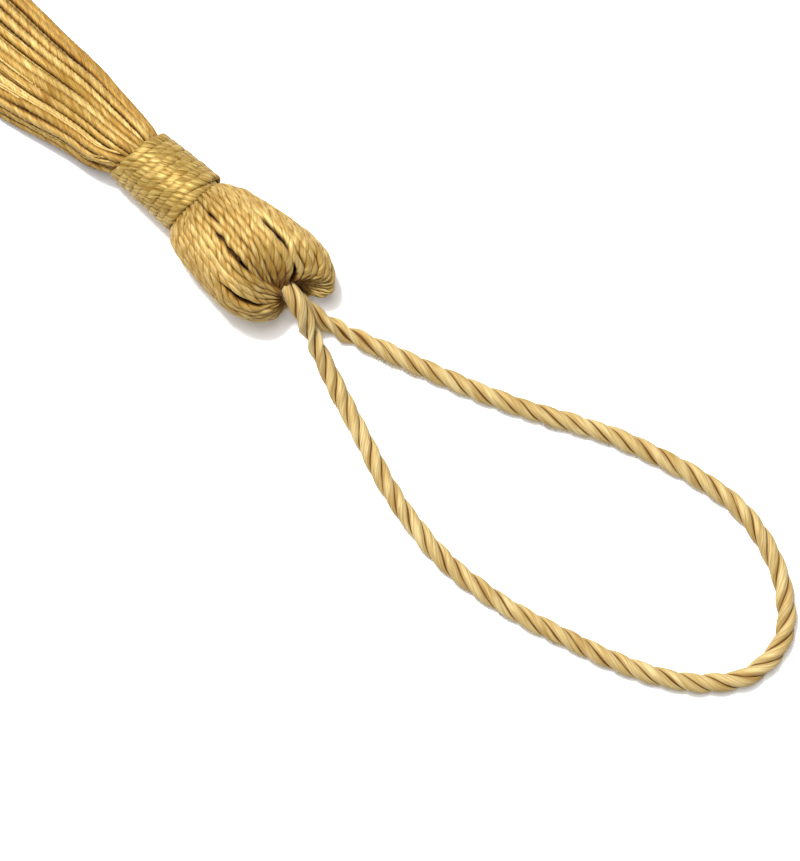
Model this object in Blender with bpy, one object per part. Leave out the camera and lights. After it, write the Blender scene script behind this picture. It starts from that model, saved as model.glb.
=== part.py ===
"""Silk tassel: a yarn head and skirt, a neck wrap and a hanging loop of twisted cord.

The tassel lies on its side. +X runs along it from the skirt to the loop and +Z is up.
The origin is on the surface, below the middle of the head and skirt.
"""
import math
import random

import bpy
from mathutils import Vector
from mathutils.geometry import delaunay_2d_cdt

MM = 0.001

# Driving sizes, in millimetres
GAP = 0.3
HEAD_END_OF_WRAP = 25.7
SKIRT_END_OF_WRAP = 18.7
ROOT_PLANE = 17.0
SKIRT_TIP = -39.8
TIP_UNEVENNESS = 0.6
STRAND_COUNT = 34

# Head: a bulb of strands that turn over the loop and go down into a pocket
HEAD_LENGTH = 13.05
HEAD_HALF_WIDTH = 5.15
HEAD_HALF_HEIGHT = 4.75
# The far end slants: longest on the +Y side and a little below, and shortest on top
END_LEAN = 1.45
END_LEAN_ANGLE = math.radians(-32)
END_OVAL = 0.4
SWIRL = math.radians(16)
RIB_DEPTH = 0.3
FLAT_SIDE_RIB_SHARE = 0.15
# Places of a rib's three columns across it: its groove, then its crest's two sides
RIB_PLACES = (0.0, 0.3, 0.7)
SAMPLES_PER_RIB = len(RIB_PLACES)
COLUMNS = STRAND_COUNT * SAMPLES_PER_RIB

# along: share of the head's length; width: share of the widest radius
HEAD_SWELL = [
    {"along": 0.024, "width": 0.60},
    {"along": 0.09, "width": 0.73},
    {"along": 0.18, "width": 0.83},
    {"along": 0.31, "width": 0.905},
    {"along": 0.45, "width": 0.965},
    {"along": 0.58, "width": 0.995},
    {"along": 0.69, "width": 1.0},
]
# Beyond the widest ring width is the share of the way from the pocket's wall (0) out to
# the widest radius (1), and lean is how far the end's slant is followed
HEAD_TURN = [
    {"along": 0.78, "width": 0.955, "lean": 1.0},
    {"along": 0.865, "width": 0.84, "lean": 1.0},
    {"along": 0.935, "width": 0.67, "lean": 1.0},
    {"along": 0.985, "width": 0.48, "lean": 1.0},
    {"along": 1.0, "width": 0.28, "lean": 1.0},
    {"along": 0.975, "width": 0.10, "lean": 0.9},
    {"along": 0.90, "width": 0.0, "lean": 0.4},
    {"along": 0.66, "width": 0.0, "lean": 0.0},
]
# Splits between strands, cut deeper than the other grooves
DEEP_SPLITS = [
    {"groove": 4, "start": 0.46, "end": 0.86, "depth": 0.9},
    {"groove": 9, "start": 0.42, "end": 0.90, "depth": 1.0},
    {"groove": 12, "start": 0.54, "end": 0.90, "depth": 0.8},
]

# Pocket for the loop's two arms, which lie one above the other
POCKET_HALF_WIDTH = 1.42
POCKET_HALF_HEIGHT = 2.4
POCKET_Y = -0.8
POCKET_Z = 4.2

# Height and side offset of the yarn bundle's middle
BUNDLE_MIDDLE = [
    {"x": ROOT_PLANE, "y": 0.0, "z": 3.2},
    {"x": SKIRT_END_OF_WRAP, "y": 0.0, "z": 3.3},
    {"x": HEAD_END_OF_WRAP, "y": -0.1, "z": 3.8},
    {"x": 28.0, "y": -0.55, "z": 4.2},
    {"x": 34.0, "y": -0.8, "z": 4.35},
    {"x": 40.0, "y": -0.65, "z": 4.35},
]

# Neck inside the wrap, and the collar outside it that the skirt's strands grow from
NECK = [
    {"x": HEAD_END_OF_WRAP + GAP, "radius": 2.0, "ribs": 0.2},
    {"x": SKIRT_END_OF_WRAP - GAP, "radius": 1.8, "ribs": 0.2},
    {"x": SKIRT_END_OF_WRAP - GAP, "radius": 2.6, "ribs": 0.4},
    {"x": 17.8, "radius": 2.9, "ribs": 0.5},
    {"x": ROOT_PLANE, "radius": 3.0, "ribs": 0.4},
]
SHEAR = 0.15

# Wrap: turns of thread round the neck
WRAP_RADIUS_AT_SKIRT = 2.76
WRAP_RADIUS_AT_HEAD = 3.05
WRAP_THICKNESS = 0.56
WRAP_TURN = 0.95
WRAP_RIDGE = 0.27
WRAP_SIDES = 28
WRAP_STEPS_PER_TURN = 4

# Skirt: half width and middle of the whole fan along its length
SKIRT_FAN = [
    {"x": SKIRT_TIP, "half": 7.5, "y": 0.0},
    {"x": -25.0, "half": 7.1, "y": -0.35},
    {"x": -10.0, "half": 6.4, "y": -0.75},
    {"x": 2.0, "half": 5.5, "y": -0.75},
    {"x": 6.5, "half": 4.95, "y": -0.55},
    {"x": 10.5, "half": 4.25, "y": -0.25},
    {"x": ROOT_PLANE, "half": 3.0, "y": 0.0},
]
# Rows of strands from the floor up. Columns: strands in the row, half width and height
# of the row at the root, then its share of the fan's width and its height where it lies
SKIRT_ROWS = [
    {"strands": 7, "root_half": 1.52, "root_z": -1.68, "share": 0.90, "tip_z": 0.30},
    {"strands": 10, "root_half": 2.40, "root_z": -0.57, "share": 1.0, "tip_z": 1.15},
    {"strands": 10, "root_half": 2.40, "root_z": 0.57, "share": 0.95, "tip_z": 2.0},
    {"strands": 7, "root_half": 1.52, "root_z": 1.68, "share": 0.80, "tip_z": 2.85},
]
ROOT_WIDTH = 0.36
ROOT_HEIGHT = 0.84
STRAND_WIDTH = 0.90
STRAND_HEIGHT = 0.60
STRAND_STEPS = 12
SETTLE_LENGTH = 13.0
SPREAD_LENGTH = 7.0
STRAY = 0.10

# Loop: cord of three plies, twisted
CORD_CREST = 0.90
CORD_SIDE = 0.63
PLIES = 3
SAMPLES_PER_PLY = 3
TWIST_PITCH = 7.0
STEPS_PER_PITCH = 9
LOOP_ROUTE = [
    (34.75, -0.8, 3.12), (37.2, -0.8, 3.1), (39.3, -0.75, 2.65), (41.5, -0.6, 1.65),
    (43.7, 0.0, 1.0), (47.8, 1.2, 0.95), (52.0, 2.4, 0.95), (56.2, 3.7, 0.95),
    (60.4, 5.2, 0.95), (64.3, 6.9, 0.95), (68.4, 8.6, 0.95), (72.6, 9.8, 0.95),
    (76.9, 10.7, 0.95), (81.2, 11.0, 0.95), (85.5, 10.0, 0.95), (89.3, 7.8, 0.95),
    (92.0, 4.4, 0.95), (91.8, -0.1, 0.95), (88.9, -3.5, 0.95), (85.2, -5.7, 0.95),
    (81.1, -7.2, 0.95), (76.9, -8.3, 0.95), (72.7, -9.3, 0.95), (68.4, -9.9, 0.95),
    (64.0, -10.0, 0.95), (59.7, -9.3, 0.95), (55.5, -8.1, 0.95), (51.4, -6.4, 0.95),
    (47.4, -4.8, 1.0), (44.6, -3.6, 1.5), (42.1, -2.55, 2.75), (40.2, -1.7, 4.4),
    (38.6, -1.0, 5.15), (36.8, -0.8, 5.28), (34.75, -0.8, 5.28),
]

# Colours, as linear values
YARN_GOLD = (0.55, 0.36, 0.115, 1.0)
WRAP_GOLD = (0.50, 0.34, 0.10, 1.0)
CORD_GOLD = (0.61, 0.43, 0.17, 1.0)
YARN_ROUGHNESS = 0.42


def clear_scene():
    for thing in list(bpy.data.objects):
        bpy.data.objects.remove(thing, do_unlink=True)


def yarn_material(name, colour):
    material = bpy.data.materials.new(name)
    material.use_nodes = True
    shader = material.node_tree.nodes["Principled BSDF"]
    shader.inputs["Base Color"].default_value = colour
    shader.inputs["Roughness"].default_value = YARN_ROUGHNESS
    shader.inputs["Metallic"].default_value = 0.0
    material.diffuse_color = colour
    return material


def add_object(name, points, faces, material):
    mesh = bpy.data.meshes.new(name)
    mesh.from_pydata([Vector(p) * MM for p in points], [], faces)
    mesh.materials.append(material)
    mesh.update()
    mesh.shade_smooth()
    mesh.set_sharp_from_angle(angle=math.radians(35))
    thing = bpy.data.objects.new(name, mesh)
    bpy.context.collection.objects.link(thing)
    return thing


def ease(share):
    share = min(max(share, 0.0), 1.0)
    return share * share * (3 - 2 * share)


def read_table(table, column, key, value):
    """Value of a table's column at a place, eased between its rows."""
    if value <= table[0][key]:
        return table[0][column]
    for low, high in zip(table, table[1:]):
        if value <= high[key]:
            share = (value - low[key]) / (high[key] - low[key])
            return low[column] + (high[column] - low[column]) * ease(share)
    return table[-1][column]


def bundle_middle(x):
    return read_table(BUNDLE_MIDDLE, "y", "x", x), read_table(BUNDLE_MIDDLE, "z", "x", x)


def sheared(x, y):
    """The wrap and what is next to it slant a little, more to +X on the +Y side."""
    fade = 1 - ease((x - HEAD_END_OF_WRAP - 1.0) / 7.0)
    return x + SHEAR * y * fade


def end_lean(angle):
    return END_LEAN * math.cos(angle - END_LEAN_ANGLE) + END_OVAL * math.cos(2 * angle)


def oval(half_y, half_z, angle):
    return 1 / math.hypot(math.cos(angle) / half_y, math.sin(angle) / half_z)


def groove_depth(column, along):
    """Depth of the surface at a column: nothing on a rib's crest, full in a groove."""
    groove, place = divmod(column, SAMPLES_PER_RIB)
    if place:
        return 0.0
    depth = RIB_DEPTH
    for split in DEEP_SPLITS:
        if split["groove"] == groove and split["start"] < along < split["end"]:
            share = (along - split["start"]) / (split["end"] - split["start"])
            depth += split["depth"] * math.sin(math.pi * share)
    return depth


def column_angle(column):
    rib, place = divmod(column, SAMPLES_PER_RIB)
    return 2 * math.pi * (rib + RIB_PLACES[place]) / STRAND_COUNT


def head_ring(along, width, lean, past_widest):
    """One ring of the head or of its pocket, as a list of points."""
    ring = []
    for column in range(COLUMNS):
        angle = column_angle(column) + SWIRL * ease(along)
        x = HEAD_END_OF_WRAP + along * (HEAD_LENGTH + lean * end_lean(angle))
        middle_y, middle_z = bundle_middle(x)
        widest = oval(HEAD_HALF_WIDTH, HEAD_HALF_HEIGHT, angle)
        if past_widest:
            pocket = oval(POCKET_HALF_WIDTH, POCKET_HALF_HEIGHT, angle)
            radius = pocket + (widest - pocket) * width
            middle_y = POCKET_Y + (middle_y - POCKET_Y) * width
            middle_z = POCKET_Z + (middle_z - POCKET_Z) * width
            ribs = ease(width / 0.3)
        else:
            radius = widest * width
            ribs = 1.0
        underside = ease((-math.sin(angle) - 0.5) / 0.4)
        ribs *= 1 - (1 - FLAT_SIDE_RIB_SHARE) * underside
        radius -= groove_depth(column, along) * ribs * radius / HEAD_HALF_WIDTH
        y = middle_y + radius * math.cos(angle)
        z = max(middle_z + radius * math.sin(angle), 0.0)
        ring.append((sheared(x, y), y, z))
    return ring


def neck_ring(row):
    middle_y, middle_z = bundle_middle(row["x"])
    ring = []
    for column in range(COLUMNS):
        angle = column_angle(column)
        radius = row["radius"] - groove_depth(column, 0.0) * row["ribs"]
        y = middle_y + radius * math.cos(angle)
        ring.append((sheared(row["x"], y), y, middle_z + radius * math.sin(angle)))
    return ring


def strand_paths():
    """Middle line, width and height of each skirt strand, from its root to its tip."""
    chance = random.Random(7)
    middle_z = bundle_middle(ROOT_PLANE)[1]
    paths = []
    for row in SKIRT_ROWS:
        for index in range(row["strands"]):
            across = 2 * index / (row["strands"] - 1) - 1
            stray = chance.uniform(-STRAY, STRAY)
            tip_x = SKIRT_TIP + chance.uniform(-TIP_UNEVENNESS, TIP_UNEVENNESS)
            stations = []
            for step in range(STRAND_STEPS + 1):
                share = (step / STRAND_STEPS) ** 1.5
                x = ROOT_PLANE + (tip_x - ROOT_PLANE) * share
                fallen = ease((ROOT_PLANE - x) / SETTLE_LENGTH)
                spread = ease((ROOT_PLANE - x) / SPREAD_LENGTH)
                fan_half = read_table(SKIRT_FAN, "half", "x", x) - STRAND_WIDTH / 2
                half = row["root_half"] + (fan_half * row["share"] - row["root_half"]) * spread
                middle_y = read_table(SKIRT_FAN, "y", "x", x)
                y = middle_y + across * half + stray * fallen
                root_z = middle_z + row["root_z"]
                z = root_z + (row["tip_z"] - root_z) * fallen
                width = ROOT_WIDTH + (STRAND_WIDTH - ROOT_WIDTH) * fallen
                height = ROOT_HEIGHT + (STRAND_HEIGHT - ROOT_HEIGHT) * fallen
                stations.append((sheared(x, y) if step == 0 else x, y, z, width, height))
            paths.append(stations)
    return paths


def strand_corners(station):
    """The four corners of a strand's section, in the same turn as the rings."""
    x, y, z, width, height = station
    corners = []
    for side, rise in ((1, -1), (1, 1), (-1, 1), (-1, -1)):
        corner_y = y + side * width / 2
        corners.append((x, corner_y, z + rise * height / 2))
    return corners


def bridge(first, second):
    """Quads between two closed rings of point numbers."""
    count = len(first)
    quads = []
    for i in range(count):
        j = (i + 1) % count
        quads.append((first[i], first[j], second[j], second[i]))
    return quads


def head_and_skirt(material):
    """One solid: the head's bulb and pocket, the neck, the collar and every strand."""
    rings = [head_ring(row["along"], row["width"], row["lean"], True)
             for row in reversed(HEAD_TURN)]
    rings += [head_ring(row["along"], row["width"], 1.0, False)
              for row in reversed(HEAD_SWELL)]
    rings += [neck_ring(row) for row in NECK]

    points = []
    numbers = []
    for ring in rings:
        numbers.append(list(range(len(points), len(points) + COLUMNS)))
        points += ring
    faces = [tuple(numbers[0])]
    for first, second in zip(numbers, numbers[1:]):
        faces += bridge(second, first)

    # The root plane: a flat cap with a square left out for each strand
    flat = [Vector((points[n][1], points[n][2])) for n in numbers[-1]]
    flat_numbers = list(numbers[-1])
    edges = [(i, (i + 1) % COLUMNS) for i in range(COLUMNS)]
    roots = []
    for path in strand_paths():
        first = len(flat)
        ring = []
        for x, y, z in strand_corners(path[0]):
            ring.append(len(points))
            points.append((sheared(ROOT_PLANE, y), y, z))
            flat.append(Vector((y, z)))
            flat_numbers.append(ring[-1])
        edges += [(first + i, first + (i + 1) % 4) for i in range(4)]
        roots.append(ring)
        for station in path[1:]:
            following = list(range(len(points), len(points) + 4))
            points += strand_corners(station)
            faces += bridge(following, ring)
            ring = following
        faces.append(tuple(reversed(ring)))

    squares = [set(flat_numbers.index(n) for n in ring) for ring in roots]
    cap = delaunay_2d_cdt(flat, edges, [list(range(COLUMNS))], 1, 1e-6)
    place = [origin[0] for origin in cap[3]]
    for face in cap[2]:
        corners = [place[n] for n in face]
        if any(set(corners) <= square for square in squares):
            continue
        turn = sum(flat[a].x * flat[b].y - flat[b].x * flat[a].y
                   for a, b in zip(corners, corners[1:] + corners[:1]))
        if turn > 0:
            corners.reverse()
        faces.append(tuple(flat_numbers[n] for n in corners))
    return add_object("head_and_skirt", points, faces, material)


def neck_wrap(material):
    """A sleeve of close turns of thread, raised as one slanting ridge."""
    length = HEAD_END_OF_WRAP - SKIRT_END_OF_WRAP
    step_count = round(length / WRAP_TURN * WRAP_STEPS_PER_TURN)
    outside = []
    inside = []
    for step in range(step_count + 1):
        share = step / step_count
        x = SKIRT_END_OF_WRAP + length * share
        middle_y, middle_z = bundle_middle(x)
        base = WRAP_RADIUS_AT_SKIRT + (WRAP_RADIUS_AT_HEAD - WRAP_RADIUS_AT_SKIRT) * share
        ring = []
        inner_ring = []
        for side in range(WRAP_SIDES):
            angle = 2 * math.pi * side / WRAP_SIDES
            turns = (x - SKIRT_END_OF_WRAP) / WRAP_TURN + side / WRAP_SIDES
            ridge = 0.5 - 0.5 * math.cos(2 * math.pi * turns)
            radius = base + WRAP_RIDGE * ridge
            y = middle_y + radius * math.cos(angle)
            ring.append((sheared(x, y), y, middle_z + radius * math.sin(angle)))
            inner = base - WRAP_THICKNESS
            y = middle_y + inner * math.cos(angle)
            inner_ring.append((sheared(x, y), y, middle_z + inner * math.sin(angle)))
        outside.append(ring)
        if step in (0, step_count // 2, step_count):
            inside.append(inner_ring)

    points = []
    numbers = []
    for ring in outside + inside[::-1]:
        numbers.append(list(range(len(points), len(points) + WRAP_SIDES)))
        points += ring
    faces = []
    for first, second in zip(numbers, numbers[1:] + numbers[:1]):
        faces += bridge(first, second)
    return add_object("neck_wrap", points, faces, material)


def smooth_line(route, spacing):
    """Evenly spaced points on a smooth curve through a route's points."""
    route = [Vector(p) for p in route]
    ends = [2 * route[0] - route[1]] + route + [2 * route[-1] - route[-2]]
    fine = []
    for a, b, c, d in zip(ends, ends[1:], ends[2:], ends[3:]):
        for step in range(24):
            t = step / 24
            fine.append(0.5 * (2 * b + (c - a) * t + (2 * a - 5 * b + 4 * c - d) * t ** 2
                               + (3 * b - a - 3 * c + d) * t ** 3))
    fine.append(route[-1])
    walked = [0.0]
    for a, b in zip(fine, fine[1:]):
        walked.append(walked[-1] + (b - a).length)
    count = round(walked[-1] / spacing)
    line = []
    place = 0
    for step in range(count + 1):
        target = walked[-1] * step / count
        while place < len(walked) - 2 and walked[place + 1] < target:
            place += 1
        share = (target - walked[place]) / (walked[place + 1] - walked[place])
        line.append(fine[place].lerp(fine[place + 1], share))
    return line, walked[-1]


def hanging_loop(material):
    """The loop's cord, its three plies raised and turning along it."""
    line, length = smooth_line(LOOP_ROUTE, TWIST_PITCH / STEPS_PER_PITCH)
    sides = PLIES * SAMPLES_PER_PLY
    points = []
    numbers = []
    for index, middle in enumerate(line):
        before = line[max(index - 1, 0)]
        after = line[min(index + 1, len(line) - 1)]
        forward = (after - before).normalized()
        across = Vector((0, 0, 1)).cross(forward).normalized()
        upward = forward.cross(across)
        turned = 2 * math.pi * length * index / (len(line) - 1) / TWIST_PITCH
        numbers.append(list(range(len(points), len(points) + sides)))
        for side in range(sides):
            angle = 2 * math.pi * side / sides + turned
            radius = CORD_SIDE if side % SAMPLES_PER_PLY else CORD_CREST
            points.append(middle + radius * (math.cos(angle) * across
                                             + math.sin(angle) * upward))
    faces = [tuple(reversed(numbers[0]))]
    for first, second in zip(numbers, numbers[1:]):
        faces += bridge(first, second)
    faces.append(tuple(numbers[-1]))
    return add_object("hanging_loop", points, faces, material)


clear_scene()
head_and_skirt(yarn_material("bundle_yarn", YARN_GOLD))
neck_wrap(yarn_material("wrap_thread", WRAP_GOLD))
hanging_loop(yarn_material("loop_cord", CORD_GOLD))
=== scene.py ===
"""Looks of the silk tassel: twisted strands in the head and skirt, a wound neck and a loop
of three-ply cord, lying on a white surface. Sizes are in millimetres until a mesh is made.
"""
import math

import bpy
import numpy as np
from mathutils import Matrix, Vector


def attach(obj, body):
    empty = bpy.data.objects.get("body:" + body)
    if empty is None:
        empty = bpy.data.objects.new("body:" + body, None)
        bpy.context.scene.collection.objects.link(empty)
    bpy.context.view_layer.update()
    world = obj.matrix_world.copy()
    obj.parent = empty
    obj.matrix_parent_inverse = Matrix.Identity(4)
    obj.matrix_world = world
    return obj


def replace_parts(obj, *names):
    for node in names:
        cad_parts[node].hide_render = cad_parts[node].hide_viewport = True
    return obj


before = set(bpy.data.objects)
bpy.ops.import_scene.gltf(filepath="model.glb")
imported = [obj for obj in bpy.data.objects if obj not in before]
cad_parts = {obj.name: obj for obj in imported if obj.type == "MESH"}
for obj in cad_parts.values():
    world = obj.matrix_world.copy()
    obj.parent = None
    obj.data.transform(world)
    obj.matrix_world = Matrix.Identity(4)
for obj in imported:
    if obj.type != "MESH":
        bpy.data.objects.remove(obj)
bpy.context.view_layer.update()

MM = 0.001
UP = np.array([0.0, 0.0, 1.0])

# The photograph's frame and a camera that matches it
IMAGE_WIDTH = 800
IMAGE_HEIGHT = 861
MM_PER_PIXEL = 0.0912
CAMERA_DISTANCE = 400.0
CAMERA_AZIMUTH = math.radians(40.5)
CAMERA_ELEVATION = math.radians(82.0)
CAMERA_TARGET = (53.25, -3.50, 0.0)
SENSOR = 36.0
NEAREST_SEEN = 0.01
FARTHEST_SEEN = 20.0

# Places along the tassel, as in the CAD
HEAD_END_OF_WRAP = 25.7
SKIRT_END_OF_WRAP = 18.7
ROOT_PLANE = 17.0
SKIRT_TIP = -39.8
# How much the wrap slants across the neck, over what length that fades along the head, and
# the middle of the bundle
SHEAR = 0.15
SHEAR_FADE_START = 1.0
SHEAR_FADE_LENGTH = 7.0
BUNDLE_MIDDLE = [
    {"x": ROOT_PLANE, "y": 0.0, "z": 3.2},
    {"x": SKIRT_END_OF_WRAP, "y": -0.08, "z": 3.3},
    {"x": HEAD_END_OF_WRAP, "y": -0.18, "z": 3.8},
    {"x": 28.0, "y": -0.50, "z": 4.2},
    {"x": 34.0, "y": -0.68, "z": 4.35},
    {"x": 40.0, "y": -0.53, "z": 4.35},
]

# Steps between two points of a route, the sines that a slow random line is made of, the
# phases at which a twist may start, and the shares that its pitch may vary by
FINE_STEPS = 24
NOISE_SHARES = (1.0, 0.53, 0.31)
NOISE_SIZES = (0.5, 1.0)
NOISE_WAVES = (0.8, 1.3)
NOISE_LEVEL = 1.4
PHASES = (0, 6.28)
PITCHES = (0.85, 1.2)

# How a strand's plies vary. Waves are counted in pitches, apart from pitch_wave in mm. The
# open values round an opened ply and deepen its groove, the wave and change of the groove
# shade vary from ply to ply how deep the brown painted shade in the grooves is, the side
# values say how high the painted shade on a strand's sides reaches, and the crest values
# how much the tone follows the crest attribute and its painted shade
PLY = {
    "pitch_wave": 7.0, "pitch_change": 0.15, "swell_wave": 1.2, "swell_change": 0.07,
    "edge_wave": 1.5, "edge_change": 0.22, "groove_shade_wave": 0.8, "groove_shade_change": 0.35,
    "open_rounding": 0.6, "open_groove": 0.8, "side_start": 0.1, "side_span": 0.75,
    "crest_tone": 0.5, "crest_middle": 0.75,
}
# How far apart the fibre patterns of two strands lie, and how low a strand may lie
FIBRES_APART = 7
FLOOR_CLEARANCE = 0.02

# Head: number of strands, length, widest half sizes, where along it the far end begins,
# how that end slants and how oval it is, and the turn of the strands
HEAD_STRANDS = 40
HEAD_LENGTH = 12.55
HEAD_HALF_WIDTH = 5.15
HEAD_HALF_HEIGHT = 4.75
END_BEGINS = 0.5
END_LEAN = 1.55
END_LEAN_ANGLE = math.radians(-45)
END_OVAL = 0.9
SWIRL = math.radians(16)
FIRST_ANGLE = math.radians(-2)
# The end rounds off from ROUNDING_START inside the pocket's wall, over END_ROUNDING of the
# way out to the widest radius, and over CORNER_SHARPNESS less at the corner
END_ROUNDING = 0.6
CORNER_SHARPNESS = 0.32
ROUNDING_START = 0.05
# The fuller corner of the head beside the cord: where it is, how wide and how long
CORNER_ANGLE = math.radians(318)
CORNER_SPAN = math.radians(26)
CORNER_SWELL = 0.55
# along: share of the head's length; out: share of the way from the pocket's wall (0) to
# the widest radius (1); dive_along and dive_out: the same for the strands in the middle
# of the top, which dip into the pocket early
HEAD_PROFILE = [
    {"along": -0.09, "out": 0.27, "dive_along": -0.09, "dive_out": 0.27},
    {"along": -0.01, "out": 0.33, "dive_along": -0.01, "dive_out": 0.33},
    {"along": 0.03, "out": 0.50, "dive_along": 0.03, "dive_out": 0.50},
    {"along": 0.09, "out": 0.65, "dive_along": 0.09, "dive_out": 0.65},
    {"along": 0.18, "out": 0.78, "dive_along": 0.18, "dive_out": 0.78},
    {"along": 0.31, "out": 0.88, "dive_along": 0.31, "dive_out": 0.88},
    {"along": 0.45, "out": 0.95, "dive_along": 0.48, "dive_out": 0.95},
    {"along": 0.58, "out": 0.99, "dive_along": 0.60, "dive_out": 0.96},
    {"along": 0.69, "out": 1.0, "dive_along": 0.69, "dive_out": 0.90},
    {"along": 0.79, "out": 0.96, "dive_along": 0.77, "dive_out": 0.77},
    {"along": 0.88, "out": 0.86, "dive_along": 0.83, "dive_out": 0.60},
    {"along": 0.95, "out": 0.71, "dive_along": 0.885, "dive_out": 0.41},
    {"along": 0.99, "out": 0.54, "dive_along": 0.93, "dive_out": 0.24},
    {"along": 0.995, "out": 0.37, "dive_along": 0.965, "dive_out": 0.09},
    {"along": 0.975, "out": 0.21, "dive_along": 0.99, "dive_out": -0.05},
    {"along": 0.945, "out": 0.07, "dive_along": 1.0, "dive_out": -0.18},
    {"along": 0.915, "out": -0.05, "dive_along": 1.0, "dive_out": -0.31},
    {"along": 0.895, "out": -0.14, "dive_along": 0.99, "dive_out": -0.44},
]
# The first and last of the middle strands, where they dive in beside the loop's cord, and
# which of them keep to the surface for longer, over which rows of the profile
DIVE_FIRST = 5
DIVE_LAST = 10
DIVE_REACH = 11.6
DIVE_MIDDLE = (-2.0, 5.3)
DIVE_HALF_WIDTH = 0.45
DIVE_SINK = 6.0
LATE_SHARE = 1.0
LATE_ANGLE = math.radians(82)
LATE_ANGLE_SPAN = math.radians(38)
LATE_ROW = 11
LATE_ROWS = 6
# Where the strands meet round the loop's cord, deep in the end of the head
POCKET_REACH = 12.9
POCKET_HALF_WIDTH = 0.95
POCKET_HALF_HEIGHT = 2.0
POCKET_MIDDLE = (-0.8, 4.2)
# Splits between the head's strands: the groove that opens, where along the head, and how
# far its two sides move apart
SPLITS = [
    {"groove": 5, "start": 0.42, "end": 0.84, "half_width": 0.36},
    {"groove": 11, "start": 0.47, "end": 0.80, "half_width": 0.28},
    {"groove": 11, "start": 0.36, "end": 0.46, "half_width": 0.16},
    {"groove": 15, "start": 0.54, "end": 0.98, "half_width": 0.42},
    {"groove": 10, "start": 0.18, "end": 0.32, "half_width": 0.18},
    {"groove": 4, "start": 0.72, "end": 0.96, "half_width": 0.22},
    {"groove": 2, "start": 0.72, "end": 0.94, "half_width": 0.26},
    {"groove": 39, "start": 0.62, "end": 1.0, "half_width": 0.20},
]
# How blunt the ends of a split are, and how many strands away it still moves
SPLIT_BLUNTNESS = 0.8
SPLIT_REACH = 1.8
# The two edges of a strand, as shares of its place round the head
STRAND_EDGES = (0.01, 0.99)
# A strand of the head: where along the head it starts and ends, half sizes that fit the
# room it has, and how unevenly it lies
HEAD_STRAND = {
    "start": -0.09, "end": 1.15, "spacing": 0.22, "full_room": 0.4, "least_loose": 0.1,
    "sizes": (0.92, 1.08), "overlap": 1.2, "half_widths": (0.2, 0.6), "area": 0.17,
    "half_heights": (0.34, 0.5), "push_wave": 8.0, "push": 0.10, "rise_wave": 6.0,
    "rise": 0.07, "pitch": 3.9, "tones": (0.42, 0.78),
}
# Painted shade on the strands where they go into the pocket: how dark, from where, and
# over how much of their length
POCKET_SHADE = {"dark": 0.8, "start": 0.94, "span": 0.14}
DIVE_SHADE = {"dark": 0.85, "start": 0.66, "span": 0.27}
# The filling below the head's strands: how deep, how much of their length, and its size
FILLING = {
    "spacing": 0.4, "first_point": 4, "kept": 0.62, "depth": 1.15, "half_width": 0.45,
    "half_height": 0.4, "pitch": 4.0,
}
# The thick bundle inside the head and neck: it swells in the head and narrows at its end
CORE = {
    "start": 19.6, "end": 37.0, "points": 60, "radius": 1.7, "pitch": 30.0,
    "swell": 0.9, "swell_from": 26.0, "swell_length": 4.0,
    "narrowing": 1.5, "narrow_from": 33.5, "narrow_length": 3.5,
}
# Tone of the filling and of the thick bundle, whose silk is painted dark as shade
DEEP_TONE = 0.2

# Wrap: outer radius at both ends, width of a turn, where it starts and ends, and the angle
# of its first turn
WRAP_OUTER_AT_SKIRT = 3.12
WRAP_OUTER_AT_HEAD = 3.42
WRAP_TURN = 0.80
WRAP_START = 19.0
WRAP_END = 25.75
FIRST_TURN = math.radians(277)
# Its yarn, the part of a turn at each end that is tucked in, and how uneven the turns lie
WRAP_YARN = {
    "half_width": 0.53, "half_height": 0.34, "pitch": 2.3, "steps_a_turn": 100,
    "usual_radius": 3.0, "tucked": 0.35, "tuck_depth": 0.75, "lift_wave": 7.0, "lift": 0.07,
    "drift_wave": 9.0, "drift": 0.15,
}

# Skirt: the fan's half width and middle along its length
SKIRT_FAN = [
    {"x": SKIRT_TIP, "half": 7.5, "y": 0.0},
    {"x": -25.0, "half": 7.1, "y": -0.35},
    {"x": -10.0, "half": 6.4, "y": -0.75},
    {"x": 2.0, "half": 5.5, "y": -0.75},
    {"x": 6.5, "half": 4.95, "y": -0.55},
    {"x": 10.5, "half": 4.40, "y": -0.22},
    {"x": 14.0, "half": 3.80, "y": -0.22},
    {"x": ROOT_PLANE, "half": 3.56, "y": -0.34},
    {"x": 19.0, "half": 3.1, "y": -0.12},
]
# Rows of strands from the floor up, where they lie
SKIRT_ROWS = [
    {"strands": 9, "share": 0.92, "tip_z": 0.46},
    {"strands": 13, "share": 1.0, "tip_z": 1.15},
    {"strands": 13, "share": 0.97, "tip_z": 1.90},
    {"strands": 10, "share": 0.86, "tip_z": 2.62},
]
# Roots: how closely they are packed in the neck, how the wrap draws them in, and where
# along the tassel the points of a strand's route lie
ROOT_SPACING = 0.72
ROOT_SHIFT = 0.25
ROOT_ROWS = 4
ROOT_PINCH = 0.18
PINCH_START = 18.0
PINCH_LENGTH = 1.6
ROOT_STARTS = (20.4, 19.2)
OPEN_START = 18.0
OPEN_POINTS = 26
# Over what length the strands settle and spread, how far on the head's side of ROOT_PLANE
# the spreading starts, and how far inside the fan's edge the outer strands lie
SETTLE_LENGTH = 13.0
SPREAD_LENGTH = 3.7
SPREAD_START = 3.1
EDGE_INSET = 0.45
# A strand of the skirt. The strands toward +y lie tidier than those toward -y
SKIRT_STRAND = {
    "spacing": 0.5, "tip_change": 0.5, "mess": 1.4, "tidier": 0.8, "stray": 0.14,
    "loose_length": 15.0, "sway_wave": 24.0, "sway": 0.12, "lift_wave": 20.0, "lift": 0.08,
    "root_half_width": 0.38, "widening": 0.08, "widen_start": 1, "widen_length": 8.0,
    "sizes": (0.9, 1.12), "flatness": 0.9, "lean": 1.2, "pitch": 4.4, "tones": (0.14, 0.6),
}
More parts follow.
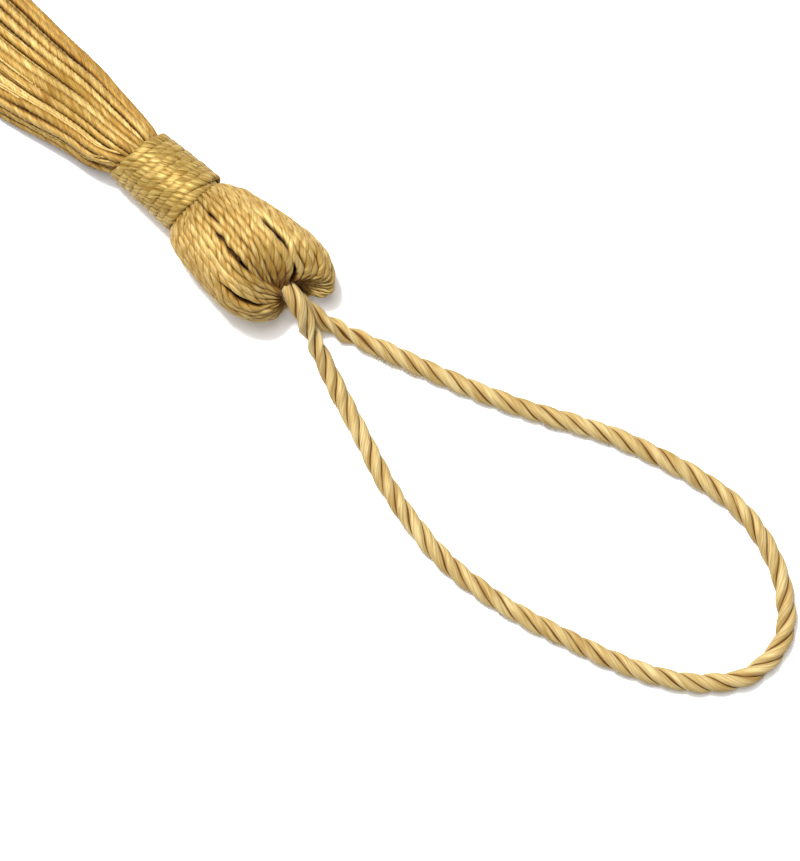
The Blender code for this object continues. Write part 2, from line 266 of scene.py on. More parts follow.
# Thin loose strands on top of the skirt: how far across at the root and at the tips
THREADS = [
    {"root": -0.75, "tip": -0.45}, {"root": -0.30, "tip": -0.85},
    {"root": -0.85, "tip": -0.62}, {"root": -0.10, "tip": -0.55},
    {"root": -0.60, "tip": -0.95}, {"root": 0.25, "tip": -0.15},
    {"root": -0.45, "tip": -0.30}, {"root": 0.55, "tip": 0.30},
]
# A loose thread, which lies lower toward the fan's edge
THREAD = {
    "spacing": 0.4, "root_across": 2.0, "root_height": 1.95, "tip_z": 2.96,
    "shorter": (1, 6), "loose_length": 15.0, "sway_wave": 16.0, "sway": 0.25,
    "drop": 1.3, "drop_edge": 0.55, "drop_span": 0.45, "drop_start": 2, "drop_length": 5.0,
    "half_sizes": (0.13, 0.19), "pitch": 2.6, "tones": (0.5, 0.9),
}

# Loop cord: radius and length of a twist, spacing of its points, where it leaves the head,
# and how its size and twist change along it
CORD_RADIUS = 0.89
CORD_PITCH = 7.0
CORD_SPACING = 0.22
CORD_CHANGE = {"size_wave": 30.0, "size": 0.03, "pitch_wave": 40.0, "pitch": 0.04}
# Where along the cord its plies have come a little apart
OPENED_PLIES = [(5.0, 13.0), (118.0, 124.0)]
# Patches of hairs along the cord, each on one side of it
HAIRS = [
    {"start": 12.5, "end": 17.5, "count": 70, "length": 0.65, "side": -1},
    {"start": 17.0, "end": 50.0, "count": 90, "length": 0.4, "side": -1},
    {"start": 29.0, "end": 34.0, "count": 50, "length": 0.55, "side": -1},
    {"start": 9.0, "end": 116.0, "count": 90, "length": 0.35, "side": 1},
]
# A hair: how it leans and wanders, how long it is at least, and how deep it is rooted
HAIR = {
    "leans": (-0.9, 0.9), "shortest": 0.2, "heights": (-0.6, 0.3), "sunk": 0.75,
    "wander": (-0.2, 0.2), "points": 5, "clearance": 0.06, "half_sizes": (0.010, 0.017),
    "pitch": 5.0, "tone": 0.8,
}
# The route that the cord's middle follows, from one end in the pocket to the other
LOOP_ROUTE = [
    (34.75, -0.8, 3.12), (37.2, -0.8, 3.1), (39.3, -0.75, 2.65), (41.5, -0.6, 1.65),
    (43.7, 0.0, 1.0), (47.8, 1.2, 0.95), (52.0, 2.4, 0.95), (56.2, 3.7, 0.95),
    (60.4, 5.2, 0.95), (64.3, 6.9, 0.95), (68.4, 8.6, 0.95), (72.6, 9.8, 0.95),
    (76.9, 10.7, 0.95), (81.2, 11.0, 0.95), (85.5, 10.0, 0.95), (89.3, 7.8, 0.95),
    (92.0, 4.4, 0.95), (91.8, -0.1, 0.95), (88.9, -3.5, 0.95), (85.2, -5.7, 0.95),
    (81.1, -7.2, 0.95), (76.9, -8.3, 0.95), (72.7, -9.3, 0.95), (68.4, -9.9, 0.95),
    (64.0, -10.0, 0.95), (59.7, -9.3, 0.95), (55.5, -8.1, 0.95), (51.4, -6.4, 0.95),
    (47.4, -4.8, 1.0), (44.6, -3.6, 1.5), (42.1, -2.55, 2.65), (40.2, -1.7, 4.2),
    (38.6, -1.05, 4.9), (36.8, -0.8, 5.0), (34.75, -0.8, 5.0),
]

# Yarn materials: ranges stretched to 0 to 1, tints of patches and streaks, and the noise of
# both. across is how many cross a ply, along is their length in mm. RELIEF_DEPTH is in metres
TONE_RANGE = (0.25, 0.75)
PATCH_RANGE = (0.35, 0.7)
STREAK_RANGE = (0.62, 0.36)
# CREST_RANGE is where brown painted shade gives way to the yarn's colour
CREST_RANGE = (0.04, 0.45)
PATCH_TINT = (0.80, 0.72, 0.58, 1)
STREAK_TINT = (0.70, 0.60, 0.45, 1)
PATCH_NOISE = {"across": 1.3, "along": 3.5, "detail": 1.0}
STREAK_NOISE = {"along": 2.4, "detail": 3.0}
RELIEF_STRENGTH = 0.45
RELIEF_DEPTH = 0.00005
GLOSS_TINT = (1.0, 0.9, 0.7, 1)
ANISOTROPY = 0.6
SHEEN = 0.03
SHEEN_ROUGHNESS = 0.4

# Surface, and lights in metres and watts. toward is how far a light stands off toward the
# picture's upper left, a direction of LIGHT_UPWARD and LIGHT_LEFTWARD, and height is how far
# it is above the surface
FLOOR_HALF = 3.0
FLOOR_COLOUR = (0.93, 0.93, 0.93, 1)
WHITE = (1, 1, 1, 1)
FLOOR_ROUGHNESS = 0.8
FLOOR_GLOSS = 0.2
FLOOR_GLOW = 0.15
WORLD_LIGHT = 0.17
LIGHT_AIM = (0.03, 0, 0)
LIGHT_UPWARD = 0.84
LIGHT_LEFTWARD = 0.54
LIGHTS = [
    {"name": "key", "toward": 0.28, "height": 0.73, "size": 0.13, "power": 9.4},
    {"name": "overhead", "toward": 0.12, "height": 0.8, "size": 0.42, "power": 4.3},
]


def ease(share):
    """Goes from 0 to 1 with a soft start and end."""
    share = np.clip(share, 0.0, 1.0)
    return share * share * (3 - 2 * share)


def read_table(table, column, key, value):
    """Value of a table's column at a place, eased between its rows."""
    if value <= table[0][key]:
        return table[0][column]
    for low, high in zip(table, table[1:]):
        if value <= high[key]:
            share = (value - low[key]) / (high[key] - low[key])
            return low[column] + (high[column] - low[column]) * float(ease(share))
    return table[-1][column]


def bundle_middle(x):
    """Middle of the bundle at a place along the tassel."""
    return read_table(BUNDLE_MIDDLE, "y", "x", x), read_table(BUNDLE_MIDDLE, "z", "x", x)


def sheared(x, y):
    """Place along the tassel, moved by the slant of the wrap."""
    faded = (x - HEAD_END_OF_WRAP - SHEAR_FADE_START) / SHEAR_FADE_LENGTH
    return x + SHEAR * y * (1 - float(ease(faded)))


def oval(half_y, half_z, angle):
    """Radius of an oval at an angle."""
    return 1 / math.hypot(math.cos(angle) / half_y, math.sin(angle) / half_z)


def smooth_line(route, spacing):
    """Evenly spaced points on a smooth curve through a route's points, and its length."""
    route = [np.array(p, float) for p in route]
    ends = [2 * route[0] - route[1]] + route + [2 * route[-1] - route[-2]]
    fine = []
    for a, b, c, d in zip(ends, ends[1:], ends[2:], ends[3:]):
        for step in range(FINE_STEPS):
            t = step / FINE_STEPS
            fine.append(0.5 * (2 * b + (c - a) * t + (2 * a - 5 * b + 4 * c - d) * t ** 2
                               + (3 * b - a - 3 * c + d) * t ** 3))
    fine = np.array(fine + [route[-1]])
    walked = np.concatenate([[0], np.cumsum(np.linalg.norm(np.diff(fine, axis=0), axis=1))])
    count = max(2, round(walked[-1] / spacing))
    places = np.linspace(0, walked[-1], count + 1)
    line = np.stack([np.interp(places, walked, fine[:, i]) for i in range(3)], 1)
    return line, walked[-1]


def unit(vectors):
    """Vectors of length 1 in the same directions."""
    return vectors / np.linalg.norm(vectors, axis=-1, keepdims=True)


def slow_noise(chance, count, spacing, wave, size):
    """A smooth random line of values: sines of the given wave length and shorter ones."""
    places = np.arange(count) * spacing
    value = np.zeros(count)
    for share in NOISE_SHARES:
        strength = chance.uniform(*NOISE_SIZES) * share
        length = wave * share * chance.uniform(*NOISE_WAVES)
        phase = chance.uniform(0, 2 * math.pi)
        value += strength * np.sin(2 * math.pi * places / length + phase)
    return value * size / NOISE_LEVEL


class Yarn:
    """Collects strands of twisted plies into one mesh with its fibre directions."""

    # Two arguments paint shade into the ply grooves as brown: the first after flatness sets
    # how much, sharpness how narrowly
    def __init__(self, seed, plies=3, samples=6, groove=0.28, flatness=2.4, groove_shade=1.0,
                 sharpness=1.0):
        self.chance = np.random.default_rng(seed)
        self.plies = plies
        self.sides = plies * samples
        self.around = np.arange(self.sides) / self.sides
        self.ply = (self.around * plies).astype(int)
        self.within = self.around * plies - self.ply
        self.groove = groove
        self.flatness = flatness
        self.groove_shade = groove_shade
        self.sharpness = sharpness
        self.points = []
        self.faces = []
        self.fibres = []
        self.shaded_crests = []
        self.tones = []
        self.count = 0
        self.total = 0

    def ply_noise(self, count, spacing, wave, size):
        """A slow random line for each ply, a row for each point of the strand."""
        return np.stack([slow_noise(self.chance, count, spacing, wave, size)
                         for _ in range(self.plies)], 1)

    def strand(self, line, outward, width, height, pitch, phase, tone=0.5, square=2.0,
               uneven=1.0, shade=1.0, sides=0.0, patch=4.0, mottle=0.17, opened=0.0):
        """Adds a strand along line. outward points out of the pile, width and height are
        the half sizes across and along outward, pitch is the twist's length and phase its
        angle at the start. A higher tone is paler. square is 2 for an oval section and more
        for a boxier one, uneven is how much the plies vary, a shade below 1 paints shade on
        the yarn, sides paints shade where it turns away from outward, patch and mottle are how
        long a tone lasts and how much it varies, and opened loosens the plies."""
        n = len(line)
        pitch_length = float(np.mean(pitch))
        ahead = unit(np.gradient(line, axis=0))
        outward = unit(outward - (outward * ahead).sum(1, keepdims=True) * ahead)
        side = np.cross(outward, ahead)
        steps = np.linalg.norm(np.diff(line, axis=0), axis=1)
        walked = np.concatenate([[0], np.cumsum(steps)])
        spacing = walked[-1] / (n - 1)
        change = slow_noise(self.chance, n, spacing, PLY["pitch_wave"],
                            PLY["pitch_change"] * uneven)
        pitch = pitch * (1 + change)
        turned = phase + np.concatenate(
            [[0], np.cumsum(steps / ((pitch[1:] + pitch[:-1]) / 2))]) * 2 * math.pi
        width = np.broadcast_to(width, n)
        height = np.broadcast_to(height, n)
        # Each ply swells and wanders a little by itself
        swell = self.ply_noise(n, spacing, PLY["swell_wave"] * pitch_length,
                               PLY["swell_change"] * uneven)[:, self.ply]
        swell = 1 + swell * np.sin(math.pi * self.within)
        edge = self.ply_noise(n, spacing, PLY["edge_wave"] * pitch_length,
                              PLY["edge_change"] * uneven)
        edge = (edge[:, self.ply] * (1 - self.within)
                + edge[:, (self.ply + 1) % self.plies] * self.within)
        angle = 2 * math.pi * self.around[None, :] + turned[:, None] + edge
        box = (np.abs(np.cos(angle)) ** square + np.abs(np.sin(angle)) ** square)
        opened = np.broadcast_to(opened, n)[:, None]
        flatness = self.flatness * (1 - PLY["open_rounding"] * opened)
        crest = 1 - np.abs(2 * self.within - 1) ** flatness
        radius = 1 - self.groove * (1 + PLY["open_groove"] * opened) * (1 - crest)
        radius = radius * swell * box ** (-1 / square)
        across = (width[:, None] * radius * np.cos(angle))[..., None]
        rise = (height[:, None] * radius * np.sin(angle))[..., None]
        ring = line[:, None, :] + across * side[:, None, :] + rise * outward[:, None, :]
        self.points.append(ring.reshape(-1, 3))
        numbers = self.total + np.arange(n * self.sides).reshape(n, self.sides)
        self.total += n * self.sides
        following = np.roll(numbers, -1, axis=1)
        quads = np.stack([numbers[:-1], following[:-1], following[1:], numbers[1:]], -1)
        self.faces += quads.reshape(-1, 4).tolist()
        self.faces.append(numbers[0][::-1].tolist())
        self.faces.append(numbers[-1].tolist())
        # Fibre places: round the strand in plies, offset for each strand, and along it
        first = self.around * self.plies + self.count * FIBRES_APART
        last = first + self.plies / self.sides
        u = np.stack([first, last, last, first], -1)[None].repeat(n - 1, 0)
        v = np.stack([walked[:-1], walked[:-1], walked[1:], walked[1:]], -1)
        v = v[:, None, :].repeat(self.sides, 1)
        self.fibres.append(np.stack([u, v], -1).reshape(-1, 2))
        for end in (0, -1):
            cap = np.stack([first, np.full(self.sides, walked[end])], -1)
            self.fibres.append(cap[::-1] if end == 0 else cap)
        # Painted shade: on the sides that turn away from outward, brown in the ply grooves
        # (deeper in some plies than others), and the shade given; the tone follows it toward
        # gold
        facing = ease((np.sin(angle) - PLY["side_start"]) / PLY["side_span"])
        seen = 1 - sides * (1 - facing)
        groove_shade_noise = self.ply_noise(n, spacing, PLY["groove_shade_wave"] * pitch_length,
                                PLY["groove_shade_change"])[:, self.ply]
        groove_shaded = 1 - self.groove_shade * (1 + groove_shade_noise) * (1 - crest) ** self.sharpness
        shaded_crests = np.broadcast_to(shade, n)[:, None] * groove_shaded * seen
        self.shaded_crests.append(shaded_crests.reshape(-1))
        tones = tone + self.ply_noise(n, spacing, patch, mottle)[:, self.ply]
        tones += PLY["crest_tone"] * (shaded_crests - PLY["crest_middle"])
        self.tones.append(tones.reshape(-1))
        self.count += 1

    def build(self, name, material):
        """Makes the collected strands into one piece of the scene."""
        points = np.concatenate(self.points)
        points[:, 2] = np.maximum(points[:, 2], FLOOR_CLEARANCE)
        mesh = bpy.data.meshes.new(name)
        mesh.from_pydata((points * MM).tolist(), [], self.faces)
        layer = mesh.uv_layers.new(name="fibres")
        layer.uv.foreach_set("vector", np.concatenate(self.fibres).astype("f").ravel())
        for label, values in (("crest", self.shaded_crests), ("tone", self.tones)):
            attribute = mesh.attributes.new(label, "FLOAT", "POINT")
            attribute.data.foreach_set("value", np.concatenate(values).astype("f"))
        mesh.materials.append(material)
        mesh.shade_smooth()
        piece = bpy.data.objects.new(name, mesh)
        bpy.context.collection.objects.link(piece)
        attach(piece, "root")
        return piece


def silk(name, pale, gold, brown, streaks, roughness=0.56, gloss=0.3, metal=0.25):
    """Satin yarn: a tone for each ply, streaks along the fibres, and brown painted shade
    where the crest attribute is low: in the ply grooves, on strand sides and into the
    pocket. streaks is how many cross a ply."""
    material = bpy.data.materials.new(name)
    material.use_nodes = True
    nodes = material.node_tree.nodes
    links = material.node_tree.links
    shader = nodes["Principled BSDF"]

    def spread(source, low, high):
        """A value's usual range, stretched to 0 to 1."""
        node = nodes.new("ShaderNodeMapRange")
        node.inputs["From Min"].default_value = low
        node.inputs["From Max"].default_value = high
        links.new(source, node.inputs["Value"])
        return node.outputs["Result"]

    def mix(factor, first, second, blend="MIX"):
        node = nodes.new("ShaderNodeMix")
        node.data_type = "RGBA"
        node.blend_type = blend
        for socket, value in (("Factor", factor), ("A", first), ("B", second)):
            if isinstance(value, (tuple, float)):
                node.inputs[socket].default_value = value
            else:
                links.new(value, node.inputs[socket])
        return node.outputs["Result"]

    def attribute(label):
        node = nodes.new("ShaderNodeAttribute")
        node.attribute_name = label
        return node.outputs["Fac"]

    def noise(across, along, detail):
        stretch = nodes.new("ShaderNodeMapping")
        stretch.inputs["Scale"].default_value = (across, 1 / along, 1)
        links.new(fibres, stretch.inputs["Vector"])
        node = nodes.new("ShaderNodeTexNoise")
        node.noise_dimensions = "2D"
        node.inputs["Scale"].default_value = 1.0
        node.inputs["Detail"].default_value = detail
        links.new(stretch.outputs["Vector"], node.inputs["Vector"])
        return node.outputs["Fac"]

    uv = nodes.new("ShaderNodeUVMap")
    uv.uv_map = "fibres"
    fibres = uv.outputs["UV"]
    fine = noise(streaks, **STREAK_NOISE)
    broad = noise(**PATCH_NOISE)

    body = mix(spread(attribute("tone"), *TONE_RANGE), gold, pale)
    body = mix(spread(broad, *PATCH_RANGE), body, mix(1.0, body, PATCH_TINT, "MULTIPLY"))
    body = mix(spread(fine, *STREAK_RANGE), body, mix(1.0, body, STREAK_TINT, "MULTIPLY"))
    # Brown painted shade where the crest attribute is low
    colour = mix(spread(attribute("crest"), *CREST_RANGE), brown, body)
    links.new(colour, shader.inputs["Base Color"])

    relief = nodes.new("ShaderNodeBump")
    relief.inputs["Strength"].default_value = RELIEF_STRENGTH
    relief.inputs["Distance"].default_value = RELIEF_DEPTH
    links.new(fine, relief.inputs["Height"])
    links.new(relief.outputs["Normal"], shader.inputs["Normal"])
    tangent = nodes.new("ShaderNodeTangent")
    tangent.direction_type = "UV_MAP"
    tangent.uv_map = "fibres"
    links.new(tangent.outputs["Tangent"], shader.inputs["Tangent"])
    shader.inputs["Metallic"].default_value = metal
    shader.inputs["Roughness"].default_value = roughness
    shader.inputs["Specular IOR Level"].default_value = gloss
    shader.inputs["Specular Tint"].default_value = GLOSS_TINT
    shader.inputs["Anisotropic"].default_value = ANISOTROPY
    shader.inputs["Sheen Weight"].default_value = SHEEN
    shader.inputs["Sheen Roughness"].default_value = SHEEN_ROUGHNESS
    return material


def head_point(row, angle, dive):
    """Place on the head's surface at one row of its profile. dive is true for a strand
    that dips early into the pocket."""
    along = row["dive_along"] if dive else row["along"]
    out = row["dive_out"] if dive else row["out"]
    share = min(max(out, 0.0), 1.0)
    angle += SWIRL * float(ease(along))
    widest = oval(HEAD_HALF_WIDTH, HEAD_HALF_HEIGHT, angle)
    pocket = POCKET_HALF_WIDTH
    reach = DIVE_REACH
    end_y, end_z = POCKET_MIDDLE
    if dive:
        end_y, end_z = DIVE_MIDDLE
        pocket += (DIVE_HALF_WIDTH - pocket) * float(ease(along / END_BEGINS))
    else:
        slant = (HEAD_LENGTH + END_LEAN * math.cos(angle - END_LEAN_ANGLE)
                 + END_OVAL * math.cos(2 * angle))
        corner = math.exp(-((angle - CORNER_ANGLE) / CORNER_SPAN) ** 2)
        slant += CORNER_SWELL * corner
        rounded = 1.0
        if along > END_BEGINS:
            rounding = END_ROUNDING - CORNER_SHARPNESS * corner
            rounded = float(ease((out + ROUNDING_START) / rounding))
            pocket = oval(POCKET_HALF_WIDTH, POCKET_HALF_HEIGHT, angle)
        reach = POCKET_REACH + (slant - POCKET_REACH) * rounded
    x = HEAD_END_OF_WRAP + along * reach
    middle_y, middle_z = bundle_middle(x)
    if along > END_BEGINS:
        middle_y = end_y + (middle_y - end_y) * share
        middle_z = end_z + (middle_z - end_z) * share
    radius = pocket + (widest - pocket) * out
    if dive:
        radius = max(radius, DIVE_HALF_WIDTH / 2)
        middle_z += min(out, 0.0) * DIVE_SINK
    y = middle_y + radius * math.cos(angle)
    z = middle_z + radius * math.sin(angle)
    return np.array([sheared(x, y), y, max(z, 0.0)])


def head_route(angle, dive):
    """Places of a strand on the head, a row of the profile each. Of the strands that dip
    early, the ones toward +y keep to the head's surface for longer."""
    route = []
    late = 0.0
    if dive:
        late = LATE_SHARE * float(ease((LATE_ANGLE - angle) / LATE_ANGLE_SPAN))
    for number, row in enumerate(HEAD_PROFILE):
        place = head_point(row, angle, dive)
        if late > 0:
            kept = late * (1 - float(ease((number - LATE_ROW) / LATE_ROWS)))
            place += (head_point(row, angle, False) - place) * kept
        route.append(place)
    return route


def head_line(angle, spacing, dive=False):
    """Line of a strand along the head's surface, its directions outward and across, and
    half the room that it has beside its neighbours."""
    turn = 0.05
    line, _ = smooth_line(head_route(angle, dive), spacing)
    beside, _ = smooth_line(head_route(angle + turn, dive), spacing)
    places = np.linspace(0, len(beside) - 1, len(line))
    beside = np.stack(
        [np.interp(places, np.arange(len(beside)), beside[:, i]) for i in range(3)], 1)
    ahead = unit(np.gradient(line, axis=0))
    across = unit(beside - line)
    outward = unit(np.cross(across, ahead))
    room = np.linalg.norm(beside - line, axis=1) / turn * math.pi / HEAD_STRANDS
    return line, outward, across, room


def split_push(place, along):
    """How far the splits move a place sideways. place counts strands round the head."""
    push = np.zeros(len(along))
    for split in SPLITS:
        away = (place - split["groove"] + HEAD_STRANDS / 2) % HEAD_STRANDS
        away -= HEAD_STRANDS / 2
        share = (along - split["start"]) / (split["end"] - split["start"])
        window = np.sin(math.pi * np.clip(share, 0, 1)) ** SPLIT_BLUNTNESS
        fading = math.exp(-abs(away) / SPLIT_REACH)
        push += math.copysign(split["half_width"], away) * window * fading
    return push


def head_strands(material):
    """The outer layer of the head: every strand from the wrap, over the end, to the pocket."""
    yarn = Yarn(seed=11, samples=6, groove=0.08, flatness=2.6, groove_shade=0.68)
    chance = yarn.chance
    form = HEAD_STRAND
    spacing = form["spacing"]
    for index in range(HEAD_STRANDS):
        angle = 2 * math.pi * (index + 0.5) / HEAD_STRANDS + FIRST_ANGLE
        dive = DIVE_FIRST <= index <= DIVE_LAST
        line, outward, across, room = head_line(angle, spacing, dive)
        count = len(line)
        along = np.linspace(form["start"], form["end"], count)
        first = split_push(index + STRAND_EDGES[0], along)
        last = split_push(index + STRAND_EDGES[1], along)
        loose = np.clip(room / form["full_room"], form["least_loose"], 1.0)
        first *= loose
        last *= loose
        size = chance.uniform(*form["sizes"])
        width = (room + (last - first) / 2) * form["overlap"]
        width = np.clip(width, *form["half_widths"]) * size
        height = np.clip(form["area"] / width, *form["half_heights"]) * size
        push = slow_noise(chance, count, spacing, form["push_wave"], form["push"]) * loose
        push = (first + last) / 2 + push
        rise = slow_noise(chance, count, spacing, form["rise_wave"], form["rise"]) * loose
        rise = rise - height
        line = line + across * push[:, None] + outward * rise[:, None]
        # Painted shade darkens the strands into the pocket, and sides paints shade on their
        # sides
        dark = DIVE_SHADE if dive else POCKET_SHADE
        shade = 1 - dark["dark"] * ease((along - dark["start"]) / dark["span"])
        yarn.strand(line, outward, width, height, form["pitch"] * chance.uniform(*PITCHES),
                    chance.uniform(0, 2 * math.pi), tone=chance.uniform(*form["tones"]),
                    square=2.2, uneven=1.7, shade=shade, sides=0.78, patch=2.6)
    return yarn.build("head_strands", material)


def head_filling(material):
    """Strands below the outer ones, in silk painted dark as shade, that show only
    through the splits.
    """
    yarn = Yarn(seed=5, samples=4)
    for index in range(HEAD_STRANDS):
        dive = DIVE_FIRST <= index <= DIVE_LAST
        angle = 2 * math.pi * index / HEAD_STRANDS + FIRST_ANGLE
        line, outward, _, _ = head_line(angle, FILLING["spacing"], dive)
        kept = slice(FILLING["first_point"], int(len(line) * FILLING["kept"]))
        line = line - outward * FILLING["depth"]
        yarn.strand(line[kept], outward[kept], FILLING["half_width"],
                    FILLING["half_height"], FILLING["pitch"],
                    yarn.chance.uniform(*PHASES), tone=DEEP_TONE)
    return yarn.build("head_filling", material)


def inner_core(material):
    """The thick bundle inside the head and neck, in silk painted dark as shade, seen only
    as darkness between strands.
    """
    yarn = Yarn(seed=8, plies=24, samples=2, groove=0.05)
    places = np.linspace(CORE["start"], CORE["end"], CORE["points"])
    middles = np.array([bundle_middle(x) for x in places])
    line = np.column_stack([places, middles])
    swollen = ease((places - CORE["swell_from"]) / CORE["swell_length"])
    narrowed = ease((places - CORE["narrow_from"]) / CORE["narrow_length"])
    radius = CORE["radius"] + CORE["swell"] * swollen - CORE["narrowing"] * narrowed
    outward = np.tile(UP, (len(line), 1))
    yarn.strand(line, outward, radius, radius, CORE["pitch"], 0.0, tone=DEEP_TONE)
    return yarn.build("inner_core", material)


def wrap_turns(material):
    """One length of yarn wound round the neck, its two ends tucked in."""
    yarn = Yarn(seed=3, plies=4, samples=5, groove=0.10, flatness=2.3, groove_shade=0.72)
    chance = yarn.chance
    form = WRAP_YARN
    turns = (WRAP_END - WRAP_START) / WRAP_TURN
    steps = int(turns * form["steps_a_turn"])
    spacing = 2 * math.pi * form["usual_radius"] / form["steps_a_turn"]
    turn = np.linspace(-form["tucked"], turns + form["tucked"], steps)
    share = np.clip(turn / turns, 0, 1)
    x = WRAP_START + share * (WRAP_END - WRAP_START)
    tuck = np.clip(np.maximum(-turn, turn - turns) / form["tucked"], 0, 1)
    outer = WRAP_OUTER_AT_SKIRT + (WRAP_OUTER_AT_HEAD - WRAP_OUTER_AT_SKIRT) * share
    radius = outer - form["half_height"] - form["tuck_depth"] * ease(tuck)
    radius = radius + slow_noise(chance, steps, spacing, form["lift_wave"], form["lift"])
    angle = FIRST_TURN - 2 * math.pi * turn
    middle = np.array([bundle_middle(v) for v in x])
    y = middle[:, 0] + radius * np.cos(angle)
    z = middle[:, 1] + radius * np.sin(angle)
    drift = slow_noise(chance, steps, spacing, form["drift_wave"], form["drift"])
    x = x + SHEAR * y + drift
    line = np.stack([x, y, z], 1)
    outward = np.stack([np.zeros(steps), np.cos(angle), np.sin(angle)], 1)
    # sides paints a little shade on the turns' sides
    yarn.strand(line, outward, form["half_width"], form["half_height"], form["pitch"], 0.0,
                tone=0.55, square=3.0, uneven=2.2, sides=0.25, patch=1.4, mottle=0.22)
    return yarn.build("wrap_turns", material)


def skirt_roots():
    """Where the skirt's strands leave the wrap: closely packed in the neck, and given to
    the rows from the floor up."""
    places = []
    for row in range(-ROOT_ROWS, ROOT_ROWS + 1):
        for column in range(-ROOT_ROWS, ROOT_ROWS + 1):
            y = (column + (row % 2) / 2 - ROOT_SHIFT) * ROOT_SPACING
            z = row * ROOT_SPACING * math.sqrt(3) / 2
            places.append((y, z))
    wanted = sum(row["strands"] for row in SKIRT_ROWS)
    places.sort(key=lambda place: math.hypot(*place))
    places = sorted(places[:wanted], key=lambda place: place[1])
    groups = []
    for row in SKIRT_ROWS:
        groups.append(sorted(places[:row["strands"]]))
        places = places[row["strands"]:]
    return groups


def fan(x):
    """Half width and middle of the skirt's fan at places along the tassel."""
    places = [row["x"] for row in SKIRT_FAN]
    half = np.interp(x, places, [row["half"] for row in SKIRT_FAN])
    middle = np.interp(x, places, [row["y"] for row in SKIRT_FAN])
    return half, middle


def skirt_line(root, across, share, tip_z, tip_x, spacing, stray=0.0):
    """Line of a strand from its root (y, z) in the neck down to where it lies. across is
    how far out it lies in the fan, from -1 to 1."""
    route = []
    for x in np.concatenate([ROOT_STARTS, np.linspace(OPEN_START, tip_x, OPEN_POINTS)]):
        fallen = float(ease((ROOT_PLANE - x) / SETTLE_LENGTH))
        spread = float(ease((ROOT_PLANE + SPREAD_START - x) / SPREAD_LENGTH))
        half, middle = fan(x)
        half = half - EDGE_INSET
        pinch = 1 - ROOT_PINCH * float(ease((x - PINCH_START) / PINCH_LENGTH))
        y = root[0] + (across * half * share - root[0]) * spread
        y *= pinch
        y += middle + stray * fallen
        root_z = bundle_middle(x)[1] + root[1] * pinch
        z = root_z + (tip_z - root_z) * fallen
        route.append((sheared(x, y) if x > ROOT_PLANE else x, y, z))
    line, _ = smooth_line(route, spacing)
    return line


def skirt_strands(material):
    """The skirt: strands from inside the wrap, down to the surface and out to their tips."""
    yarn = Yarn(seed=21, samples=5, groove=0.035, flatness=2.6, groove_shade=0.40)
    chance = yarn.chance
    form = SKIRT_STRAND
    spacing = form["spacing"]
    for row, roots in zip(SKIRT_ROWS, skirt_roots()):
        for index, root in enumerate(roots):
            across = 2 * index / (row["strands"] - 1) - 1
            mess = form["mess"] - form["tidier"] * across
            tip_x = SKIRT_TIP + chance.uniform(-form["tip_change"], form["tip_change"])
            stray = chance.uniform(-form["stray"], form["stray"]) * mess
            line = skirt_line(root, across, row["share"], row["tip_z"], tip_x, spacing, stray)
            count = len(line)
            loose = ease((ROOT_PLANE - line[:, 0]) / form["loose_length"]) * mess
            sway = slow_noise(chance, count, spacing, form["sway_wave"], form["sway"])
            line[:, 1] += sway * loose
            lift = slow_noise(chance, count, spacing, form["lift_wave"], form["lift"]) * loose
            if row is not SKIRT_ROWS[0]:
                line[:, 2] += lift
            wider = (ROOT_PLANE + form["widen_start"] - line[:, 0]) / form["widen_length"]
            width = form["root_half_width"] + form["widening"] * ease(wider)
            width *= chance.uniform(*form["sizes"])
            leaning = UP + np.array([0.0, form["lean"] * across ** 3, 0.0])
            # sides paints shade on the strands' sides
            yarn.strand(line, np.tile(leaning, (count, 1)), width, form["flatness"] * width,
                        form["pitch"] * chance.uniform(*PITCHES), chance.uniform(*PHASES),
                        tone=chance.uniform(*form["tones"]), sides=0.9, patch=7.0,
                        mottle=0.10)
    return yarn.build("skirt_strands", material)


def loose_threads(material):
    """Thin threads that have come loose and lie over the skirt."""
    yarn = Yarn(seed=31, plies=2, samples=4, groove=0.1, flatness=2.0, groove_shade=0.5)
    chance = yarn.chance
    form = THREAD
    spacing = form["spacing"]
    for thread in THREADS:
        root = (thread["root"] * form["root_across"],
                form["root_height"] * math.sqrt(1 - thread["root"] ** 2))
        tip_x = SKIRT_TIP + chance.uniform(*form["shorter"])
        line = skirt_line(root, thread["tip"], 1.0, form["tip_z"], tip_x, spacing)
        count = len(line)
        loose = ease((ROOT_PLANE - line[:, 0]) / form["loose_length"])
        sway = slow_noise(chance, count, spacing, form["sway_wave"], form["sway"])
        line[:, 1] += sway * loose
        half, middle = fan(line[:, 0])
        edge = np.abs(line[:, 1] - middle) / half
        fallen = ease((ROOT_PLANE + form["drop_start"] - line[:, 0]) / form["drop_length"])
        outer = ease((edge - form["drop_edge"]) / form["drop_span"])
        line[:, 2] -= form["drop"] * outer * fallen
        outward = np.tile(UP, (count, 1))
        size = chance.uniform(*form["half_sizes"])
        yarn.strand(line, outward, size, size, form["pitch"], 0.0,
                    tone=chance.uniform(*form["tones"]))
    return yarn.build("loose_threads", material)


